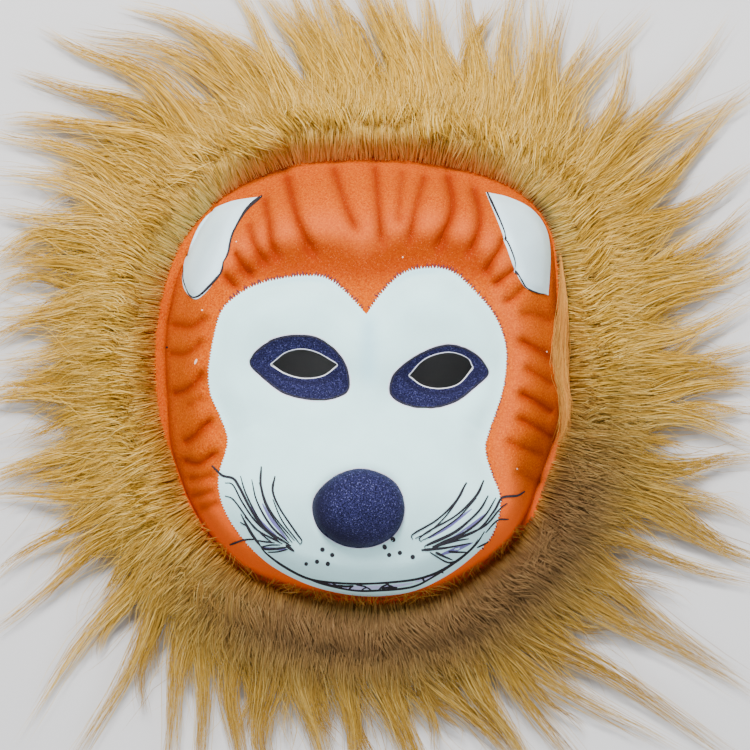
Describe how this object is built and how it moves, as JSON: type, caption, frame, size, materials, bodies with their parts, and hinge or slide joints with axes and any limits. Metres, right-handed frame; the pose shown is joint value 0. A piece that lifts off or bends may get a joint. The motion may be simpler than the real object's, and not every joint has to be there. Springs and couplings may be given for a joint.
{
  "type": "lion mask",
  "caption": "Lion face mask, a moulded foam shell with a velour face, open eye holes and a deep ring of long fur as its mane, lying face up.",
  "frame": {"origin": "middle of the mask's outline at the height of the table it lies on", "axes": "+Z out of the face, +Y towards the forehead, +X towards the right of the picture"},
  "size_m": [0.3767, 0.3992, 0.0795],
  "materials": {
    "shell": "orange velour on white moulded foam",
    "face_panel": "white short-pile velour",
    "eye_patch_left": "dark blue flock",
    "eye_patch_right": "dark blue flock",
    "nose_cap": "dark blue flock",
    "ear_left": "white short-pile velour",
    "ear_right": "white short-pile velour",
    "mane": "long golden-tan fur",
    "head_elastic": "white woven elastic"
  },
  "bodies": {
    "root": {"shell": "shell", "face_panel": "face_panel", "eye_patch_left": "eye_patch_left", "eye_patch_right": "eye_patch_right", "nose_cap": "nose_cap", "ear_left": "ear_left", "ear_right": "ear_right", "mane": "mane", "head_elastic": "head_elastic"}
  },
  "joints": []
}
